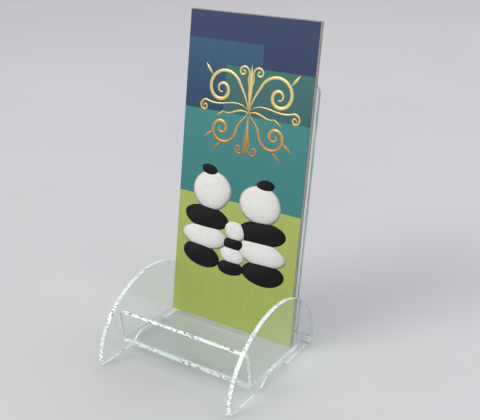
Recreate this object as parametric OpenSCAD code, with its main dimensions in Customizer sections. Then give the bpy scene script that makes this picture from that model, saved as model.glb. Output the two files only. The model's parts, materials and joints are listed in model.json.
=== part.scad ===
// Clear acrylic album stand: two half-moon side panels join a shelf, a front lip, a leaning
// back and a rear cross bar, with the album that leans in it. X is the width, the front faces
// -Y, Z is up. The origin lies on the ground, midway between the foremost and rearmost point.

/* [Sheet] */
// Thickness of the acrylic sheet
sheet_t = 3; // [2:0.5:4]
// Clear width between the side panels, which is the width of the sheets between them
inner_w = 100; // [60:1:220]

/* [Side panels] */
// Radius of the arcs at the front and the rear of a panel
end_r = 43; // [40:0.5:46]
// Radius of the crown arc that joins them
crown_r = 59.5; // [58:0.5:66]
// Distance from the front arc's centre back to the rear arc's centre
end_spacing = 14.9; // [12:0.1:18]
// Height of the rear arc's centre above the front arc's centre
rear_rise = 5.8; // [0:0.1:7]
// Radius of the corners where the arcs meet the ground line
foot_corner_r = 1; // [0.5:0.5:3]
// Length of the arched notch between the front foot and the rear foot
notch_w = 30; // [16:1:40]
// Height of that notch
notch_h = 6.3; // [3:0.1:8]
// Distance of the middle of the notch behind the front arc's foremost point
notch_y = 50.5; // [44:0.5:54]

/* [Shelf] */
// Bottom front corner of the shelf: distance behind the front of the panels
shelf_y = 22.2; // [20:0.1:26]
// Height of that corner above the ground
shelf_z = 6.9; // [5:0.1:9]
// Length of the shelf from front to rear
shelf_l = 58.6; // [54:0.1:60]
// Downward slope of the shelf towards the rear, in degrees
shelf_slope = 3; // [0:0.1:4]

/* [Lip] */
// Length of the front lip, from the shelf up to its top
lip_l = 21.7; // [12:0.1:26]
// Forward lean of the lip from the vertical, in degrees
lip_lean = 6.8; // [0:0.1:12]

/* [Back] */
// Length of the back, from the shelf up to its top
back_l = 175.6; // [100:0.1:196]
// Rearward lean of the back from the vertical, in degrees
back_lean = 11.1; // [8:0.1:14]
// Radius of the back's two top corners
back_corner_r = 8; // [2:1:15]

/* [Rear cross bar] */
// Height and depth of the square bar
bar_size = 4; // [3:0.5:6]
// Distance of the bar's rear face behind the front of the panels
bar_rear_y = 99.6; // [94:0.1:99.6]

/* [Album] */
// Height of the album along its lean
album_h = 212.5; // [150:0.5:230]
// Gap between the album and each side panel
album_side_gap = 1.3; // [0.5:0.1:3]
// Thickness of each cover board
cover_t = 0.9; // [0.8:0.1:1.5]
// Thickness of the printed sheet on the front cover
print_t = 0.2; // [0.1:0.1:0.3]
// Number of board leaves between the covers
leaf_count = 4; // [3:1:6]
// Thickness of one leaf
leaf_t = 0.45; // [0.4:0.05:0.6]
// Width of the binding strip along the left edge of the leaves
spine_w = 1; // [0.5:0.1:2]
// Clearance between the album and the sheets that carry it
album_clearance = 0.1; // [0.1:0.1:0.3]

/* [Hidden] */
$fn = 96;

// Angle between neighbouring points of an arc in an outline
arc_step = 5;
// How far a cutter runs past the solid that it cuts
cut = 1;

function angle_to(from, to) = atan2(to[1] - from[1], to[0] - from[0]);
function toward(angle) = [cos(angle), sin(angle)];

// Points along an arc, the first one left out where the arc goes on from another
function arc(centre, r, from, to, first = 0) =
    let (steps = ceil(abs(to - from) / arc_step))
    [for (i = [first:steps]) centre + r * toward(from + (to - from) * i / steps)];

// Centre of the rounded foot corner inside an end arc; side is -1 at the front, 1 at the rear
function foot_centre(centre, side) = [
    centre[0] + side * sqrt(pow(end_r - foot_corner_r, 2) - pow(foot_corner_r - centre[1], 2)),
    foot_corner_r
];

// Outline of a sheet that stands on the shelf: its outer face rises from foot, its thickness
// lies inwards, its top is square and its foot is cut along the shelf
function standing_sheet(foot, rise, length, inwards) =
    let (
        foot_w = sheet_t / abs(rise[0] * inwards[1] - rise[1] * inwards[0]),
        top = foot + length * rise,
        through = foot_w * (inwards - (inwards * rise) * rise)
    )
    [foot, top, top + through, foot + foot_w * inwards];

// Side panel outline, as [y, z] behind and above the front arc's foremost point
front_centre = [end_r, 0];
rear_centre = [end_r + end_spacing, rear_rise];
half_gap = norm(rear_centre - front_centre) / 2;
crown_drop = sqrt(pow(crown_r - end_r, 2) - pow(half_gap, 2));
crown_centre = (front_centre + rear_centre) / 2
    + crown_drop * toward(angle_to(front_centre, rear_centre) - 90);
front_foot = foot_centre(front_centre, -1);
rear_foot = foot_centre(rear_centre, 1);
panel_outline = concat(
    arc(front_foot, foot_corner_r, 270, angle_to(front_centre, front_foot)),
    arc(front_centre, end_r, angle_to(front_centre, front_foot), angle_to(crown_centre, front_centre), 1),
    arc(crown_centre, crown_r, angle_to(crown_centre, front_centre), angle_to(crown_centre, rear_centre), 1),
    arc(rear_centre, end_r, angle_to(crown_centre, rear_centre), angle_to(rear_centre, rear_foot), 1),
    arc(rear_foot, foot_corner_r, angle_to(rear_centre, rear_foot), -90, 1)
);
notch_r = (pow(notch_w / 2, 2) + pow(notch_h, 2)) / (2 * notch_h);

// Outlines of the shelf and of the two sheets that stand on it, as [y, z]
shelf_dir = toward(-shelf_slope);
shelf_up = toward(90 - shelf_slope);
lip_dir = toward(90 + lip_lean);
back_dir = toward(90 - back_lean);
shelf_front = [shelf_y, shelf_z];
lip_foot = shelf_front + sheet_t * shelf_up;
back_foot = lip_foot + shelf_l * shelf_dir;
shelf_outline = [shelf_front, shelf_front + shelf_l * shelf_dir, back_foot, lip_foot];
lip_outline = standing_sheet(lip_foot, lip_dir, lip_l, shelf_dir);
back_outline = standing_sheet(back_foot, back_dir, back_l, -shelf_dir);
back_top = back_outline[1];

// Album: its back cover lies along the back and its rear bottom edge stands on the shelf
album_w = inner_w - 2 * album_side_gap;
block_t = leaf_count * leaf_t;
album_foot = back_outline[3] + album_clearance * (back_dir - toward(-back_lean));
// How far the shelf falls away from the album, per mm forward from the album's rear face
shelf_fall = tan(back_lean - shelf_slope);

front_y = min([for (point = panel_outline) point[0]]);
rear_y = max(back_top[0], album_foot[0] + album_h * back_dir[0]);
origin_y = (front_y + rear_y) / 2;

// Extrudes an outline in [y, z] over a width along X, from the given x
module across(x, width) {
    translate([x, -origin_y, 0]) rotate([90, 0, 90]) linear_extrude(width) children();
}

module side_panel(x) {
    across(x, sheet_t) difference() {
        polygon(panel_outline);
        translate([notch_y, notch_h - notch_r]) circle(notch_r);
    }
}

module left_side_panel() {
    color("lightcyan", 0.4) side_panel(-inner_w / 2 - sheet_t);
}

module right_side_panel() {
    color("lightcyan", 0.4) side_panel(inner_w / 2);
}

module shelf_panel() {
    color("azure", 0.4) across(-inner_w / 2, inner_w) polygon(shelf_outline);
}

module lip_panel() {
    color("azure", 0.4) across(-inner_w / 2, inner_w) polygon(lip_outline);
}

// Moves a shape, drawn with Z up along the back, to the top edge of the back's rear face
module at_back_top() {
    translate([0, back_top[0] - origin_y, back_top[1]]) rotate([-back_lean, 0, 0]) children();
}

// What is cut away to round the back's right top corner
module corner_waste() {
    translate([inner_w / 2 - back_corner_r, -sheet_t - cut, -back_corner_r]) difference() {
        cube([back_corner_r + cut, sheet_t + 2 * cut, back_corner_r + cut]);
        rotate([-90, 0, 0]) cylinder(h = sheet_t + 2 * cut, r = back_corner_r);
    }
}

module back_panel() {
    color("azure", 0.4) difference() {
        across(-inner_w / 2, inner_w) polygon(back_outline);
        at_back_top() {
            corner_waste();
            mirror([1, 0, 0]) corner_waste();
        }
    }
}

module rear_cross_bar() {
    color("lightcyan", 0.4)
        translate([-inner_w / 2, bar_rear_y - bar_size - origin_y, 0])
            cube([inner_w, bar_size, bar_size]);
}

// One layer of the album, from out to out + thickness in front of its rear face, settled on
// the shelf
module album_layer(out, thickness, left = 0, width = album_w) {
    translate([0, album_foot[0] - origin_y, album_foot[1]])
        rotate([-back_lean, 0, 0])
            translate([left - album_w / 2, -out - thickness, -out * shelf_fall])
                cube([width, thickness, album_h]);
}

module album_back_cover() {
    color("dimgray") album_layer(0, cover_t);
}

module album_spine() {
    color("gray") album_layer(cover_t, block_t, 0, spine_w);
}

module album_leaf(number) {
    color("whitesmoke")
        album_layer(cover_t + (number - 1) * leaf_t, leaf_t, spine_w, album_w - spine_w);
}

module album_front_cover() {
    color("dimgray") album_layer(cover_t + block_t, cover_t);
}

module album_cover_print() {
    color("teal") album_layer(2 * cover_t + block_t, print_t);
}

left_side_panel();
right_side_panel();
shelf_panel();
lip_panel();
back_panel();
rear_cross_bar();
album_cover_print();
album_front_cover();
album_back_cover();
album_spine();
for (leaf = [1:leaf_count])
    album_leaf(leaf);
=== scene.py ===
"""Looks for the clear acrylic album stand: cemented sheets, the album and its printed cover."""

import json
import math
import random

import bmesh
import bpy
from mathutils import Matrix, Vector


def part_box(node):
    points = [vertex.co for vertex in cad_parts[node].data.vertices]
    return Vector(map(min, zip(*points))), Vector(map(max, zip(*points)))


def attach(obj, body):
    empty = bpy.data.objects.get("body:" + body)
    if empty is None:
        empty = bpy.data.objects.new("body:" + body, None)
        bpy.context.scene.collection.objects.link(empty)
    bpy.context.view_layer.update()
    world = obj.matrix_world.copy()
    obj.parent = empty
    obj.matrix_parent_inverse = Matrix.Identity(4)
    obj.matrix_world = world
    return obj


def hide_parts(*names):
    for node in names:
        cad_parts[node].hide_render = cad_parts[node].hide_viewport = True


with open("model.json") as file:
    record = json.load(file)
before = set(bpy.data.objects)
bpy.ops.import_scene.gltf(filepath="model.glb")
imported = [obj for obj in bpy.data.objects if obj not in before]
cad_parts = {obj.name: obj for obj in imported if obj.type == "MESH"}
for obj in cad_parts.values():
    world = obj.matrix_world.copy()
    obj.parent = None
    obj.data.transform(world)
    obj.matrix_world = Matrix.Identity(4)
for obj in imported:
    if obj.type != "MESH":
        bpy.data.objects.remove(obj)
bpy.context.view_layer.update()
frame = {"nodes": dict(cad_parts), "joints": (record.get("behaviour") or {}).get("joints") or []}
MM = 0.001
random.seed(7)

# Dimensions of the CAD model, in millimetres and radians. Points are (y, z), and y runs back from
# the foremost point of the panels' front arc.
SHEET_T = 3.0
END_R = 43.0
CROWN_R = 59.5
END_SPACING = 14.9
REAR_RISE = 5.8
FOOT_CORNER_R = 1.0
NOTCH_W = 30.0
NOTCH_H = 6.3
NOTCH_Y = 50.5
SHELF_FRONT = (22.2, 6.9)
SHELF_L = 58.6
SHELF_SLOPE = math.radians(3)
LIP_L = 21.7
LIP_LEAN = math.radians(6.8)
BACK_L = 175.6
BACK_LEAN = math.radians(11.1)
BACK_CORNER_R = 8.0

# Finish of the real pieces, in millimetres
SHEET_EDGE_R = 0.2
ROD_EDGE_R = 1.5 * SHEET_EDGE_R
JOINT_GAP = 0.02
LIP_CORNER_R = 0.8
BOARD_EDGE_R = 0.12
BOARD_EDGE_SHARE = 0.4
BOARD_CORNER_R = 0.4
SPINE_CORNER_R = 0.2
LEAF_TRIM = (0.05, 0.3)

# Largest angle between the points of an arc, and the least angle of an edge that is rounded
ARC_STEP = math.radians(3)
SHARP_ANGLE = math.radians(40)

ACROSS = Vector((1, 0, 0))
UP = Vector(next(j["axis"] for j in frame["joints"] if j["name"] == "album_lift")).normalized()
OUT = Vector((0, -UP.z, UP.y))

# Numbers of the acrylic's materials, in the order of the list that the stand is built with
FACE, SAWN, SEAM, POLISHED, HAZY_SEAM = range(5)


# ---------------------------------------------------------------- meshes

def make_piece(name, verts, faces, face_materials, materials, body, nodes, slot):
    """A smooth-shaded mesh that rides on a body and stands for the CAD nodes named.

    Each face takes the material that its number in face_materials picks from the list.
    """
    mesh = bpy.data.meshes.new(name)
    mesh.from_pydata([tuple(v) for v in verts], [], faces)
    for material in materials:
        mesh.materials.append(material)
    for face, index in zip(mesh.polygons, face_materials):
        face.material_index = index
        face.use_smooth = True
    bm = bmesh.new()
    bm.from_mesh(mesh)
    bmesh.ops.recalc_face_normals(bm, faces=bm.faces)
    bm.to_mesh(mesh)
    bm.free()
    piece = bpy.data.objects.new(name, mesh)
    bpy.context.scene.collection.objects.link(piece)
    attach(piece, body)
    if nodes:
        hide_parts(*nodes)
    return piece


def soften(piece, radius, arris=-1):
    """Rounds the sharp edges by a radius in millimetres, except along a cemented seam.

    The rounded strips take the material numbered arris, or the one next to them where it is -1.
    """
    bm = bmesh.new()
    bm.from_mesh(piece.data)
    weight = bm.edges.layers.float.new("bevel_weight_edge")
    for edge in bm.edges:
        seam = any(face.material_index in (SEAM, HAZY_SEAM) for face in edge.link_faces)
        edge.smooth = not seam
        edge[weight] = 0 if seam or edge.calc_face_angle(0) < SHARP_ANGLE else 1
    bm.to_mesh(piece.data)
    bm.free()
    bevel = piece.modifiers.new("edges", "BEVEL")
    bevel.width = radius * MM
    bevel.segments = 2
    bevel.limit_method = "WEIGHT"
    bevel.material = arris
    bevel.harden_normals = True


def prism(outline, near, far):
    """Vertices and faces of an outline of points swept from near(point) to far(point)."""
    n = len(outline)
    verts = [near(p) for p in outline] + [far(p) for p in outline]
    caps = [list(range(n)), list(range(2 * n - 1, n - 1, -1))]
    sides = [[i, (i + 1) % n, n + (i + 1) % n, n + i] for i in range(n)]
    return verts, caps + sides


# ---------------------------------------------------------------- outlines

def toward(angle):
    return Vector((math.cos(angle), math.sin(angle)))


def angle_to(a, b):
    return math.atan2(b[1] - a[1], b[0] - a[0])


def arc(centre, r, start, end, first=0):
    """Points along an arc, the first one left out where it goes on from another."""
    steps = max(2, math.ceil(abs(end - start) / ARC_STEP))
    return [Vector(centre) + r * toward(start + (end - start) * i / steps)
            for i in range(first, steps + 1)]


def panel_outline():
    """Half-moon of three tangent arcs with rounded foot corners and an arched notch, as (y, z)."""
    front = Vector((END_R, 0))
    rear = Vector((END_R + END_SPACING, REAR_RISE))
    half_gap = (rear - front).length / 2
    drop = math.sqrt((CROWN_R - END_R) ** 2 - half_gap ** 2)
    crown = (front + rear) / 2 + drop * toward(angle_to(front, rear) - math.pi / 2)

    def foot_centre(centre, side):
        reach = math.sqrt((END_R - FOOT_CORNER_R) ** 2 - (FOOT_CORNER_R - centre.y) ** 2)
        return Vector((centre.x + side * reach, FOOT_CORNER_R))

    front_foot = foot_centre(front, -1)
    rear_foot = foot_centre(rear, 1)
    notch_r = ((NOTCH_W / 2) ** 2 + NOTCH_H ** 2) / (2 * NOTCH_H)
    notch = Vector((NOTCH_Y, NOTCH_H - notch_r))
    notch_half = math.asin(NOTCH_W / 2 / notch_r)
    quarter = math.pi / 2
    points = arc(front_foot, FOOT_CORNER_R, 3 * quarter, angle_to(front, front_foot))
    points += arc(front, END_R, angle_to(front, front_foot), angle_to(crown, front), 1)
    points += arc(crown, CROWN_R, angle_to(crown, front), angle_to(crown, rear), 1)
    points += arc(rear, END_R, angle_to(crown, rear), angle_to(rear, rear_foot), 1)
    points += arc(rear_foot, FOOT_CORNER_R, angle_to(rear, rear_foot), -quarter, 1)
    points += arc(notch, notch_r, quarter - notch_half, quarter + notch_half)
    return points


def foot_width(rise, inwards):
    """Width of a standing sheet's foot where it is cut along the shelf."""
    return SHEET_T / abs(rise.x * inwards.y - rise.y * inwards.x)


SHELF_DIR = toward(-SHELF_SLOPE)
LIP_DIR = toward(math.pi / 2 + LIP_LEAN)
BACK_DIR = toward(math.pi / 2 - BACK_LEAN)
LIP_FOOT = Vector(SHELF_FRONT) + SHEET_T * toward(math.pi / 2 - SHELF_SLOPE)
BACK_FOOT = LIP_FOOT + SHELF_L * SHELF_DIR
PANEL_OUTLINE = panel_outline()

# Where y = 0 of the outlines lies in the frame, found from the foremost point of a panel
FRONT_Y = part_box("left_side_panel")[0].y - min(p.x for p in PANEL_OUTLINE) * MM


def place(x, point):
    """Where a point (y, z) of an outline, in millimetres, lies in the frame at x metres across."""
    return Vector((x, FRONT_Y + point.x * MM, point.y * MM))


# ---------------------------------------------------------------- material building blocks

def sets(node, **inputs):
    """Sets a node's inputs by name, with _ for a space."""
    for key, value in inputs.items():
        node.inputs[key.replace("_", " ")].default_value = value
    return node


class Finish:
    """A new material's node tree, with short calls for the nodes that the finishes share."""

    def __init__(self, name):
        self.material = bpy.data.materials.new(name)
        self.material.use_nodes = True
        self.tree = self.material.node_tree
        self.shader = next(n for n in self.tree.nodes if n.type == "BSDF_PRINCIPLED")
        self.output = next(n for n in self.tree.nodes if n.type == "OUTPUT_MATERIAL")

    def add(self, kind, **settings):
        node = self.tree.nodes.new(kind)
        for key, value in settings.items():
            setattr(node, key, value)
        return node

    def link(self, source, target):
        self.tree.links.new(source, target)

    def stretched(self, scale, output="Object", turn=(0, 0, 0)):
        """Texture coordinates turned, then scaled along each axis."""
        mapping = self.add("ShaderNodeMapping")
        sets(mapping, Scale=scale, Rotation=turn)
        self.link(self.add("ShaderNodeTexCoord").outputs[output], mapping.inputs["Vector"])
        return mapping.outputs["Vector"]

    def noise(self, vector, detail, roughness=0.55):
        node = self.add("ShaderNodeTexNoise")
        sets(node, Scale=1.0, Detail=detail, Roughness=roughness)
        self.link(vector, node.inputs["Vector"])
        return node.outputs["Fac"]

    def ramp(self, factor, stops):
        """A colour ramp over stops of (position, colour)."""
        node = self.add("ShaderNodeValToRGB")
        elements = node.color_ramp.elements
        while len(elements) < len(stops):
            elements.new(0.5)
        for element, (position, colour) in zip(elements, stops):
            element.position = position
            element.color = (*colour, 1)
        self.link(factor, node.inputs["Fac"])
        return node.outputs["Color"]

    def math(self, operation, a, b):
        node = self.add("ShaderNodeMath", operation=operation)
        for slot, value in zip(node.inputs, (a, b)):
            if isinstance(value, (int, float)):
                slot.default_value = value
            else:
                self.link(value, slot)
        return node.outputs[0]

    def mix(self, factor, a, b, blend="MIX"):
        node = self.add("ShaderNodeMix", data_type="RGBA", blend_type=blend)
        for slot, value in zip((node.inputs[0], node.inputs[6], node.inputs[7]), (factor, a, b)):
            if isinstance(value, (int, float)):
                slot.default_value = value
            elif isinstance(value, tuple):
                slot.default_value = (*value, 1)
            else:
                self.link(value, slot)
        return node.outputs[2]

    def bump(self, height, distance, strength):
        node = self.add("ShaderNodeBump")
        sets(node, Distance=distance, Strength=strength)
        self.link(height, node.inputs["Height"])
        self.link(node.outputs["Normal"], self.shader.inputs["Normal"])

    def lets_lamps_through(self, tint):
        """Shadow rays pass, so that lamps light what is behind the clear sheet."""
        clear = self.add("ShaderNodeBsdfTransparent")
        clear.inputs["Color"].default_value = (*tint, 1)
        mixer = self.add("ShaderNodeMixShader")
        self.link(self.add("ShaderNodeLightPath").outputs["Is Shadow Ray"], mixer.inputs[0])
        self.link(self.shader.outputs[0], mixer.inputs[1])
        self.link(clear.outputs[0], mixer.inputs[2])
        self.link(mixer.outputs[0], self.output.inputs["Surface"])


def srgb(r, g, b):
    """Scene colour of an 8-bit display colour."""
    def linear(c):
        c /= 255
        return c / 12.92 if c <= 0.04045 else ((c + 0.055) / 1.055) ** 2.4
    return (linear(r), linear(g), linear(b))


# ---------------------------------------------------------------- finishes

def clear_sheet():
    """Polished face of cast acrylic, with the faint waviness of the sheet."""
    finish = Finish("clear_sheet")
    sets(finish.shader, Base_Color=(0.94, 0.965, 0.955, 1), Roughness=0.0, IOR=1.49,
         Transmission_Weight=1.0)
    finish.bump(finish.noise(finish.stretched((30, 30, 30)), detail=1), 0.0002, 0.12)
    finish.lets_lamps_through((0.90, 0.93, 0.92))
    return finish.material


def sawn_edge():
    """Sawn edge: near white with patches of dark and bright tool marks, coloured as painted glints
    and painted reflections, and a faint painted glow.

    The painted glow stands in for the light that the sheet leads to its edges.
    """
    finish = Finish("sawn_edge")
    slanted = finish.stretched((380, 1100, 1100), turn=(0.5, 0.0, 0.7))
    marks_and_glints = finish.noise(slanted, detail=2.0, roughness=0.5)
    patches = finish.noise(finish.stretched((45, 45, 45)), detail=1.5)
    # Patches where the painted glints and painted reflections show
    depth = finish.math("MULTIPLY", finish.math("SUBTRACT", patches, 0.32), 3.2)
    # Painted glints and painted reflections: dark and white flecks along the saw marks
    glints = finish.ramp(marks_and_glints, [
        (0.38, srgb(98, 116, 114)), (0.46, srgb(182, 198, 195)),
        (0.53, srgb(240, 248, 246)), (0.62, srgb(255, 255, 255))])
    # Near-white tone with the painted glints in their patches
    body = finish.mix(depth, srgb(222, 234, 231), glints)
    finish.link(body, finish.shader.inputs["Base Color"])
    # Painted glow: the edge's colour is also given off as light
    finish.link(body, finish.shader.inputs["Emission Color"])
    sets(finish.shader, Roughness=0.25, IOR=1.49, Transmission_Weight=0.12, Emission_Strength=0.16)
    finish.bump(marks_and_glints, 0.0002, 0.4)
    return finish.material


def polished_edge():
    """Flame-polished edge: smooth, the grey-green of a deep view into the sheet."""
    finish = Finish("polished_edge")
    streaks = finish.noise(finish.stretched((500, 500, 25)), detail=2.0)
    colour = finish.ramp(streaks, [
        (0.35, srgb(132, 156, 153)), (0.5, srgb(166, 188, 185)), (0.65, srgb(214, 228, 226))])
    finish.link(colour, finish.shader.inputs["Base Color"])
    sets(finish.shader, Roughness=0.12, IOR=1.49, Transmission_Weight=0.25)
    return finish.material


def cemented_seam(name, clarity):
    """Solvent-cemented face: light passes unbent, but for the share that its haze catches."""
    finish = Finish(name)
    sets(finish.shader, Base_Color=(0.86, 0.92, 0.91, 1), Roughness=0.0, IOR=1.0,
         Transmission_Weight=clarity)
    finish.lets_lamps_through((0.98, 0.98, 0.98))
    return finish.material


PRINT_BLOCKS = [
    # left, right, bottom and top as shares of the cover, colour at the bottom, colour at the top
    (0.0, 1.0, 0.0, 0.42, (165, 178, 94), (169, 183, 99)),
    (0.0, 1.0, 0.42, 0.697, (66, 128, 128), (74, 136, 136)),
    (0.0, 1.0, 0.697, 1.0, (57, 64, 99), (66, 75, 107)),
    (0.0, 0.605, 0.697, 0.916, (50, 76, 102), (66, 96, 124)),
    (0.32, 1.0, 0.697, 0.844, (66, 104, 106), (74, 118, 114)),
]


def cover_print():
    """Printed paper: flat colour blocks with faint vertical brush streaks."""
    finish = Finish("cover_print")
    uv = finish.add("ShaderNodeSeparateXYZ")
    finish.link(finish.add("ShaderNodeTexCoord").outputs["UV"], uv.inputs[0])
    across, up = uv.outputs[0], uv.outputs[1]
    colour = srgb(66, 72, 104)
    for left, right, bottom, top, low, high in PRINT_BLOCKS:
        inside = finish.math("GREATER_THAN", across, left)
        for test, axis, limit in (
                ("LESS_THAN", across, right), ("GREATER_THAN", up, bottom), ("LESS_THAN", up, top)):
            inside = finish.math("MULTIPLY", inside, finish.math(test, axis, limit))
        rise = finish.math("DIVIDE", finish.math("SUBTRACT", up, bottom), top - bottom)
        colour = finish.mix(inside, colour, finish.mix(rise, srgb(*low), srgb(*high)))
    streaks = finish.noise(finish.stretched((90, 5, 1), "UV"), detail=4)
    grain = finish.ramp(streaks, [(0.3, (0.95, 0.95, 0.95)), (0.7, (1.05, 1.05, 1.05))])
    colour = finish.mix(1.0, colour, grain, "MULTIPLY")
    finish.link(colour, finish.shader.inputs["Base Color"])
    sets(finish.shader, Roughness=0.45, Specular_IOR_Level=0.15)
    finish.bump(finish.noise(finish.stretched((2200, 2200, 2200)), detail=2), 0.00002, 0.4)
    return finish.material


def book_cloth():
    """Grey woven cloth over the cover boards and the spine."""
    finish = Finish("book_cloth")
    threads = []
    for scale in ((1500, 1, 1), (1, 1, 1500)):
        wave = finish.add("ShaderNodeTexWave", wave_type="BANDS", bands_direction="DIAGONAL")
        sets(wave, Scale=1.0, Distortion=0.6, Detail=1.0)
        finish.link(finish.stretched(scale), wave.inputs["Vector"])
        threads.append(wave.outputs["Fac"])
    weave = finish.math("MULTIPLY", *threads)
    mottle = finish.noise(finish.stretched((60, 60, 60)), detail=4)
    shade = finish.math(
        "ADD", finish.math("MULTIPLY", weave, 0.35), finish.math("MULTIPLY", mottle, 0.65))
    colour = finish.ramp(shade, [(0.1, srgb(120, 119, 119)), (0.7, srgb(140, 138, 136))])
    finish.link(colour, finish.shader.inputs["Base Color"])
    sets(finish.shader, Roughness=0.85, Sheen_Weight=0.2)
    finish.bump(weave, 0.00006, 0.5)
    return finish.material


def card():
    """Pale grey card of the leaves, layered along its cut edges."""
    finish = Finish("leaf_card")
    layers = finish.noise(finish.stretched((25, 2600, 25)), detail=3)
    colour = finish.ramp(layers, [
        (0.3, srgb(138, 132, 126)), (0.5, srgb(178, 170, 162)), (0.7, srgb(206, 200, 192))])
    finish.link(colour, finish.shader.inputs["Base Color"])
    sets(finish.shader, Roughness=0.9)
    finish.bump(layers, 0.00005, 0.4)
    return finish.material


def gold_foil():
    """Stamped foil, pale at the top of the ornament and deep gold below."""
    finish = Finish("gold_foil")
    height = finish.add("ShaderNodeSeparateXYZ")
    finish.link(finish.add("ShaderNodeTexCoord").outputs["UV"], height.inputs[0])
    crinkle = finish.noise(finish.stretched((700, 700, 700)), detail=3)
    shift = finish.math("MULTIPLY", finish.math("SUBTRACT", crinkle, 0.5), 0.22)
    colour = finish.ramp(finish.math("ADD", height.outputs[1], shift), [
        (0.56, srgb(190, 124, 48)), (0.66, srgb(222, 172, 88)),
        (0.75, srgb(246, 222, 146)), (0.85, srgb(240, 220, 150))])
    finish.link(colour, finish.shader.inputs["Base Color"])
    sets(finish.shader, Metallic=0.55, Roughness=0.34)
    finish.bump(crinkle, 0.00005, 0.4)
    return finish.material


def pebble_paint():
    """Painted stones: the shading is on the mesh, with a dry brush grain over it."""
    finish = Finish("pebble_paint")
    paint = finish.add("ShaderNodeVertexColor", layer_name="paint")
    brush = finish.noise(finish.stretched((420, 900, 900)), detail=4)
    grain = finish.ramp(brush, [(0.3, (0.93, 0.93, 0.93)), (0.7, (1.04, 1.04, 1.04))])
    colour = finish.mix(1.0, paint.outputs["Color"], grain, "MULTIPLY")
    finish.link(colour, finish.shader.inputs["Base Color"])
    sets(finish.shader, Roughness=0.5, Specular_IOR_Level=0.15)
    finish.bump(brush, 0.00003, 0.4)
    return finish.material


# ---------------------------------------------------------------- the acrylic stand

def build_sheet(name, node, mesh, face_materials, materials, edge_r=SHEET_EDGE_R, arris=-1):
    """A piece of the stand that replaces one CAD node, with its sharp edges rounded."""
    piece = make_piece(name, *mesh, face_materials, materials, "stand", [node], "clear_acrylic")
    soften(piece, edge_r, arris)


def build_panel(node, materials):
    """A half-moon side panel between the faces of its CAD node."""
    low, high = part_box(node)
    mesh = prism(PANEL_OUTLINE, lambda p: place(low.x, p), lambda p: place(high.x, p))
    kinds = [FACE, FACE] + [SAWN] * len(PANEL_OUTLINE)
    build_sheet(node + "_sheet", node, mesh, kinds, materials)


def build_shelf(materials):
    """The shelf, whose top is cemented to the lip in front and to the back behind."""
    low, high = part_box("shelf_panel")
    gap = JOINT_GAP * MM
    front = Vector(SHELF_FRONT)
    lip_inside = LIP_FOOT + foot_width(LIP_DIR, SHELF_DIR) * SHELF_DIR
    back_inside = BACK_FOOT - foot_width(BACK_DIR, SHELF_DIR) * SHELF_DIR
    outline = [front, front + SHELF_L * SHELF_DIR, BACK_FOOT, back_inside, lip_inside, LIP_FOOT]
    mesh = prism(outline, lambda p: place(low.x + gap, p), lambda p: place(high.x - gap, p))
    kinds = [SAWN, SAWN, FACE, SAWN, SEAM, FACE, SEAM, SAWN]
    build_sheet("shelf_sheet", "shelf_panel", mesh, kinds, materials)


def build_standing(node, name, foot, rise, inwards, length, corner_r, rim, materials):
    """A sheet that stands on the shelf, with rounded top corners and its foot cut along the shelf.

    Its rim above the shelf takes the material numbered rim.
    """
    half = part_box(node)[1].x / MM - JOINT_GAP
    foot_w = foot_width(rise, inwards)
    fall = foot_w * inwards.dot(rise)
    through = foot_w * inwards - fall * rise
    quarter = math.pi / 2
    outline = [Vector((-half, JOINT_GAP)), Vector((half, JOINT_GAP))]
    outline += arc((half - corner_r, length - corner_r), corner_r, 0, quarter)
    outline += arc((corner_r - half, length - corner_r), corner_r, quarter, 2 * quarter)

    def outer(p):
        return place(p.x * MM, foot + p.y * rise)

    def inner(p):
        drop = fall if p.y <= JOINT_GAP else 0
        return place(p.x * MM, foot + through + (p.y + drop) * rise)

    kinds = [FACE, FACE, SEAM] + [rim] * (len(outline) - 1)
    build_sheet(name, node, prism(outline, outer, inner), kinds, materials)


def build_cross_bar(materials):
    """Square rod between the rear feet, with sawn arrises and hazy cemented ends."""
    low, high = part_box("rear_cross_bar")
    corners = [(low.y, low.z), (high.y, low.z), (high.y, high.z), (low.y, high.z)]
    gap = JOINT_GAP * MM
    mesh = prism(
        corners,
        lambda p: Vector((low.x + gap, *p)),
        lambda p: Vector((high.x - gap, *p)))
    kinds = [HAZY_SEAM, HAZY_SEAM, FACE, FACE, FACE, FACE]
    build_sheet("rear_cross_bar_rod", "rear_cross_bar", mesh, kinds, materials, ROD_EDGE_R, SAWN)


# ---------------------------------------------------------------- the album

class Slab:
    """A CAD layer of the album: its rear bottom edge, its height and its thickness."""

    def __init__(self, node):
        low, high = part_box(node)
        # depth = height * UP.y + thickness * UP.z, rise = height * UP.z + thickness * UP.y
        depth, rise = high.y - low.y, high.z - low.z
        spread = UP.y ** 2 - UP.z ** 2
        self.left, self.right = low.x, high.x
        self.height = (depth * UP.y - rise * UP.z) / spread
        self.thickness = (rise * UP.y - depth * UP.z) / spread
        self.foot = Vector((0, high.y - self.height * UP.y, low.z))

    def at(self, x, up, out):
        """The point at x across, up the lean and out from the rear face."""
        return self.foot + ACROSS * x + UP * up + OUT * out


# Straight steps in each rounded corner of a board
CORNER_STEPS = 4


def rounded_rectangle(left, right, bottom, top, radius):
    """Corner arcs of a rectangle in the plane of the album, anticlockwise from the bottom right."""
    quarter = math.pi / 2
    points = []
    for i, centre in enumerate([
            (right - radius, bottom + radius), (right - radius, top - radius),
            (left + radius, top - radius), (left + radius, bottom + radius)]):
        points += [Vector(centre) + radius * toward((i - 1 + j / CORNER_STEPS) * quarter)
                   for j in range(CORNER_STEPS + 1)]
    return points


def add_cover_uv(piece, slab):
    """UV of 0 to 1 across and up the cover."""
    layer = piece.data.uv_layers.new(name="cover")
    for loop in piece.data.loops:
        offset = piece.data.vertices[loop.vertex_index].co - slab.foot
        across = (offset.x - slab.left) / (slab.right - slab.left)
        layer.data[loop.index].uv = (across, offset.dot(UP) / slab.height)


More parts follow.
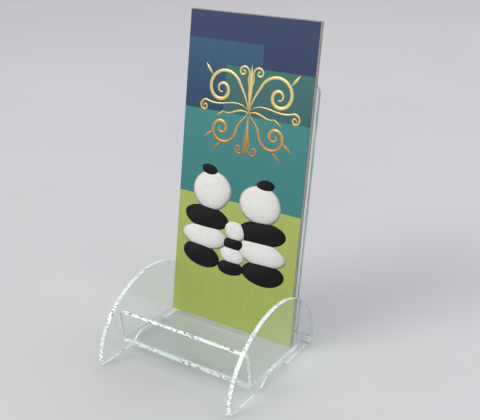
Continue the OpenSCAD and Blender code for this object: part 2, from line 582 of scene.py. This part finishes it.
def build_board(node, name, material, slot, trim=0.0, corner_r=BOARD_CORNER_R):
    """One layer of the album, trimmed in from the CAD layer's right and top edges."""
    slab = Slab(node)
    outline = rounded_rectangle(
        slab.left, slab.right - trim * MM, 0, slab.height - trim * MM, corner_r * MM)
    verts, faces = prism(
        outline,
        lambda p: slab.at(p.x, p.y, 0),
        lambda p: slab.at(p.x, p.y, slab.thickness))
    piece = make_piece(name, verts, faces, [0] * len(faces), [material], "album", [node], slot)
    add_cover_uv(piece, slab)
    soften(piece, min(BOARD_EDGE_R, BOARD_EDGE_SHARE * slab.thickness / MM))


# ---------------------------------------------------------------- the printed ornament

def ribbon(points, widths, base, height, slab, verts, faces):
    """Adds a closed flat ribbon of changing width that lies on the cover."""
    start = len(verts)
    for i, point in enumerate(points):
        before, after = points[max(i - 1, 0)], points[min(i + 1, len(points) - 1)]
        along = (after - before).normalized()
        side = Vector((-along.y, along.x)) * widths[i] / 2
        for edge, out in ((-side, 0), (side, 0), (side, height), (-side, height)):
            spot = (point + edge) * MM
            verts.append(slab.at(spot.x, spot.y, base + out * MM))
    faces.append([start + 3, start + 2, start + 1, start])
    for i in range(len(points) - 1):
        a, b = start + 4 * i, start + 4 * i + 4
        for k in range(4):
            faces.append([a + k, a + (k + 1) % 4, b + (k + 1) % 4, b + k])
    last = len(verts) - 4
    faces.append([last, last + 1, last + 2, last + 3])


def scroll(centre, outer, inner, turns, start, hand, steps=72):
    """A spiral that winds in from its outer radius, anticlockwise where hand is 1."""
    points = []
    for i in range(steps + 1):
        share = i / steps
        angle = math.radians(start) + hand * 2 * math.pi * turns * share
        points.append(Vector(centre) + outer * (inner / outer) ** share * toward(angle))
    return points


def swash(start, end, rise=0.0, waves=1.0, steps=60):
    """A long wave from start to end."""
    start, end = Vector(start), Vector(end)
    points = []
    for i in range(steps + 1):
        lift = rise * math.sin(2 * math.pi * waves * i / steps)
        points.append(start.lerp(end, i / steps) + Vector((0, lift)))
    return points


# How far a stem's handles reach, as a share of its length
STEM_REACH = 0.4


def stem(start, leave, end, heading, steps=24):
    """A Bezier curve that leaves start along one direction and meets end along another."""
    a, d = Vector(start), Vector(end)
    reach = (d - a).length * STEM_REACH
    b, c = a + reach * toward(math.radians(leave)), d - reach * toward(math.radians(heading))
    points = []
    for i in range(steps + 1):
        t = i / steps
        u = 1 - t
        points.append(u ** 3 * a + 3 * t * u ** 2 * b + 3 * t * t * u * c + t ** 3 * d)
    return points


def swelling(count, thin, thick, power=0.8):
    """Pen widths that swell in the middle of a stroke."""
    return [thin + (thick - thin) * math.sin(math.pi * i / (count - 1)) ** power
            for i in range(count)]


# Height of the foil over the print, and the step between strokes that keeps them from coinciding
FOIL_HEIGHT = 0.05
FOIL_STEP = 0.003

# Pen widths at the ends of strokes and leaves, and how sharply a leaf swells
STROKE_TIP = 0.3
LEAF_TIP = 0.2
LEAF_SWELL = 1.3

# Strokes of the right half of the ornament, in millimetres from its axis and from the cover's foot
ORNAMENT_AXIS = 2.5
SCROLLS = [
    # root and direction of the stem, then the curl: centre, outer and inner radius, turns,
    # start angle, hand and thickest width
    ((0, 150), 80, (22, 163.5), 14.5, 1.9, 1.75, 150, -1, 2.4),
    ((0, 151), -60, (20.5, 137.5), 11.5, 1.6, 1.65, 185, 1, 2.1),
    ((0.4, 163), 88, (6.2, 176.5), 4.9, 0.8, 1.45, 200, -1, 1.3),
    ((0.4, 139), -88, (5.8, 126), 4.4, 0.8, 1.45, 160, 1, 1.2),
    ((0.6, 152), 40, (35, 150.5), 4.4, 0.8, 1.45, 110, -1, 1.5),
]
LEAVES = [
    # foot, tip, greatest width
    ((0, 152), (0, 182), 3.2),
    ((0, 149), (0, 121.5), 2.8),
    ((30, 171.8), (36, 179), 1.8),
    ((27.6, 134.6), (34.5, 129.5), 1.6),
    ((20.4, 127.9), (27, 121.5), 1.4),
    ((19, 149.4), (25.5, 145), 1.3),
]
SWASHES = [
    # start, end, rise, waves, greatest width
    ((0, 150.2), (19.5, 149.4), 1.2, 0.9, 1.2),
]


def build_flourish(slab, material):
    """Gold scrollwork, the same on both sides of its axis."""
    verts, faces = [], []
    strokes = []
    for root, leave, centre, outer, inner, turns, start, hand, thick in SCROLLS:
        curl = scroll(centre, outer, inner, turns, start, hand)
        points = stem(root, leave, curl[0], start + hand * 90)[:-1] + curl
        strokes.append((points, swelling(len(points), STROKE_TIP, thick)))
    for foot, tip, thick in LEAVES:
        points = swash(foot, tip, steps=24)
        strokes.append((points, swelling(len(points), LEAF_TIP, thick, LEAF_SWELL)))
    for start, end, rise, waves, thick in SWASHES:
        points = swash(start, end, rise, waves)
        strokes.append((points, swelling(len(points), STROKE_TIP, thick)))
    for number, (points, widths) in enumerate(strokes):
        for side in (-1, 1):
            placed = [Vector((ORNAMENT_AXIS + side * p.x, p.y)) for p in points]
            height = FOIL_HEIGHT + FOIL_STEP * number + FOIL_STEP / 2 * side
            ribbon(placed, widths, slab.thickness, height, slab, verts, faces)
    piece = make_piece("cover_flourish", verts, faces, [0] * len(faces), [material],
                       "album", [], "cover_print")
    add_cover_uv(piece, slab)


STONES = [
    # across and up in millimetres, half width, half height, tilt in degrees, white or black
    (-27, 46.5, 15.5, 8.6, -5, "black"),
    (-25, 60, 19, 8.6, 3, "white"),
    (-24.5, 74, 18, 8.6, -3, "black"),
    (-21.5, 93.5, 16, 13.6, 5, "white"),
    (-24.5, 107.6, 6.6, 3.8, -7, "black"),
    (24, 44.5, 16.5, 8.6, 4, "black"),
    (21.5, 58, 19.5, 8.6, -4, "white"),
    (20.5, 72, 18.5, 8.6, 3, "black"),
    (17.5, 91, 16, 13.4, -5, "white"),
    (20.5, 105, 6.8, 3.8, 8, "black"),
    (-2, 42.6, 10.5, 5.4, 2, "black"),
    (-1.5, 51.5, 10, 5.8, -3, "white"),
    (-1, 60, 8.4, 4.4, 4, "black"),
    (-0.5, 69, 8.6, 6.6, -4, "white"),
]

# Mesh of a stone, how high it rises and the step that keeps stones from coinciding
STONE_RINGS = 7
STONE_SPOKES = 44
STONE_RISE = 0.16
STONE_STEP = 0.004

# Waves that make a stone's outline uneven, and the share of its radius that the first one adds
STONE_LUMPS = 3
STONE_LUMP = 0.025

# Least distance between points of a stone that are kept apart, in metres
STONE_WELD = 1e-6


def stone_colour(tone, across, up, reach):
    """Painted light from the upper left, darker towards the lower right rim."""
    light = 0.5 - 0.28 * across + 0.42 * up
    if tone == "white":
        level = 0.88 - 0.34 * reach ** 3 * (1 - light) - 0.14 * (1 - light)
        return (level, level * 0.98, level * 0.94)
    level = 0.006 + 0.03 * max(light - 0.45, 0) * (1 - reach ** 4)
    return (level, level * 1.02, level * 1.15)


def build_stones(slab, material):
    """Balanced stones painted on the cover, each a low dome."""
    verts, faces, colours = [], [], []
    for number, (across, up, half_w, half_h, tilt, tone) in enumerate(STONES):
        turn = Matrix.Rotation(math.radians(tilt), 2)
        lumps = [random.uniform(0, 2 * math.pi) for _ in range(STONE_LUMPS)]
        start = len(verts)
        base = slab.thickness + STONE_STEP * MM * number
        for ring in range(STONE_RINGS + 1):
            reach = ring / STONE_RINGS
            for spoke in range(STONE_SPOKES):
                angle = 2 * math.pi * spoke / STONE_SPOKES
                lump = 1 + sum(STONE_LUMP * math.sin((k + 2) * angle + phase) / (k + 1)
                               for k, phase in enumerate(lumps))
                unit = toward(angle) * reach * lump
                spot = turn @ Vector((unit.x * half_w, unit.y * half_h)) + Vector((across, up))
                rise = STONE_RISE * MM * (1 - reach ** 4) if ring < STONE_RINGS else 0
                verts.append(slab.at(spot.x * MM, spot.y * MM, base + rise))
                colours.append(stone_colour(tone, unit.x, unit.y, reach))
        for ring in range(STONE_RINGS):
            for spoke in range(STONE_SPOKES):
                a = start + ring * STONE_SPOKES
                b = a + STONE_SPOKES
                after = (spoke + 1) % STONE_SPOKES
                faces.append([a + spoke, a + after, b + after, b + spoke])
        rim = start + STONE_RINGS * STONE_SPOKES
        faces.append([rim + spoke for spoke in reversed(range(STONE_SPOKES))])
    piece = make_piece("cover_stones", verts, faces, [0] * len(faces), [material],
                       "album", [], "cover_print")
    paint = piece.data.color_attributes.new("paint", "FLOAT_COLOR", "POINT")
    for index, colour in enumerate(colours):
        paint.data[index].color = (*colour, 1)
    merge = piece.modifiers.new("close_centres", "WELD")
    merge.merge_threshold = STONE_WELD


def build_album():
    cloth = book_cloth()
    leaf = card()
    build_board("album_back_cover", "back_cover_board", cloth, "cover_board")
    build_board("album_front_cover", "front_cover_board", cloth, "cover_board")
    build_board("album_spine", "spine_strip", cloth, "cover_board", corner_r=SPINE_CORNER_R)
    leaves = sorted(n for n in frame["nodes"] if n.startswith("album_leaf_"))
    for node in leaves:
        build_board(node, node + "_card", leaf, "album_leaf", random.uniform(*LEAF_TRIM))
    build_board("album_cover_print", "cover_print_sheet", cover_print(), "cover_print")
    slab = Slab("album_cover_print")
    build_flourish(slab, gold_foil())
    build_stones(slab, pebble_paint())


# ---------------------------------------------------------------- the studio

# Half the floor's side, and its level a hair below the feet, in metres
FLOOR_HALF = 3.0
FLOOR_LEVEL = -0.0001

SKY_COLOUR = (0.93, 0.96, 1.0, 1)
SKY_STRENGTH = 0.62
SOFTBOXES = [
    # name, place, size in metres, power in watts, colour
    ("key_softbox", (-1.1, -1.5, 1.7), (1.3, 1.3), 28.0, (1.0, 0.98, 0.95)),
    ("side_softbox", (1.9, -0.2, 1.1), (0.8, 1.4), 10.0, (1.0, 1.0, 1.0)),
    ("top_softbox", (0.2, 1.3, 2.2), (1.6, 1.0), 18.0, (1.0, 1.0, 1.0)),
]
LAMP_TARGET = (0, 0, 0.08)

# The camera's place and the point it looks at, in metres, with y counted from FRONT_Y
CAMERA_PLACE = (0.29007, -0.32712, 0.32119)
CAMERA_TARGET = (0.03608, 0.04116, 0.11773)
CAMERA_ROLL = -0.03
CAMERA_LENS = 62.3
CAMERA_SENSOR = 36.0


def build_floor():
    finish = Finish("studio_floor")
    mottle = finish.noise(finish.stretched((4, 4, 4)), detail=2)
    colour = finish.ramp(mottle, [(0.3, srgb(192, 192, 193)), (0.7, srgb(196, 196, 197))])
    finish.link(colour, finish.shader.inputs["Base Color"])
    sets(finish.shader, Roughness=0.6)
    corners = [(x * FLOOR_HALF, y * FLOOR_HALF, FLOOR_LEVEL)
               for x, y in ((-1, -1), (1, -1), (1, 1), (-1, 1))]
    mesh = bpy.data.meshes.new("floor")
    mesh.from_pydata(corners, [], [[0, 1, 2, 3]])
    mesh.materials.append(finish.material)
    floor = bpy.data.objects.new("floor", mesh)
    bpy.context.scene.collection.objects.link(floor)


def aim(obj, spot, target, roll=0.0):
    """Puts obj at spot and points its -Z at target, with its top tilted by roll."""
    forward = (Vector(target) - Vector(spot)).normalized()
    right = forward.cross(Vector((0, 0, 1))).normalized()
    top = right.cross(forward)
    right, top = (math.cos(roll) * right + math.sin(roll) * top,
                  math.cos(roll) * top - math.sin(roll) * right)
    turn = Matrix((right, top, -forward)).transposed()
    obj.matrix_world = Matrix.Translation(Vector(spot)) @ turn.to_4x4()


def add_softbox(name, spot, size, power, colour):
    lamp = bpy.data.lights.new(name, "AREA")
    lamp.shape = "RECTANGLE"
    lamp.size, lamp.size_y = size
    lamp.energy = power
    lamp.color = colour
    holder = bpy.data.objects.new(name, lamp)
    bpy.context.scene.collection.objects.link(holder)
    aim(holder, spot, LAMP_TARGET)


def build_studio():
    world = bpy.data.worlds.new("studio")
    bpy.context.scene.world = world
    world.use_nodes = True
    sky = world.node_tree.nodes["Background"]
    sets(sky, Color=SKY_COLOUR, Strength=SKY_STRENGTH)
    for softbox in SOFTBOXES:
        add_softbox(*softbox)


def build_camera():
    """The view from right of the front and from above."""
    camera = bpy.data.cameras.new("camera")
    camera.sensor_width = CAMERA_SENSOR
    camera.lens = CAMERA_LENS
    camera.dof.use_dof = False
    holder = bpy.data.objects.new("camera", camera)
    bpy.context.scene.collection.objects.link(holder)
    spot, target = [(x, FRONT_Y + y, z) for x, y, z in (CAMERA_PLACE, CAMERA_TARGET)]
    aim(holder, spot, target, CAMERA_ROLL)
    bpy.context.scene.camera = holder


build_camera()
build_studio()
build_floor()
acrylic = [clear_sheet(), sawn_edge(), cemented_seam("cemented_seam", 0.5), polished_edge(),
           cemented_seam("hazy_seam", 0.1)]
build_panel("left_side_panel", acrylic)
build_panel("right_side_panel", acrylic)
build_shelf(acrylic)
build_standing("lip_panel", "lip_sheet", LIP_FOOT, LIP_DIR, SHELF_DIR,
               LIP_L, LIP_CORNER_R, SAWN, acrylic)
build_standing("back_panel", "back_sheet", BACK_FOOT, BACK_DIR, -SHELF_DIR,
               BACK_L, BACK_CORNER_R, POLISHED, acrylic)
build_cross_bar(acrylic)
build_album()
bpy.context.scene.view_settings.view_transform = "Standard"
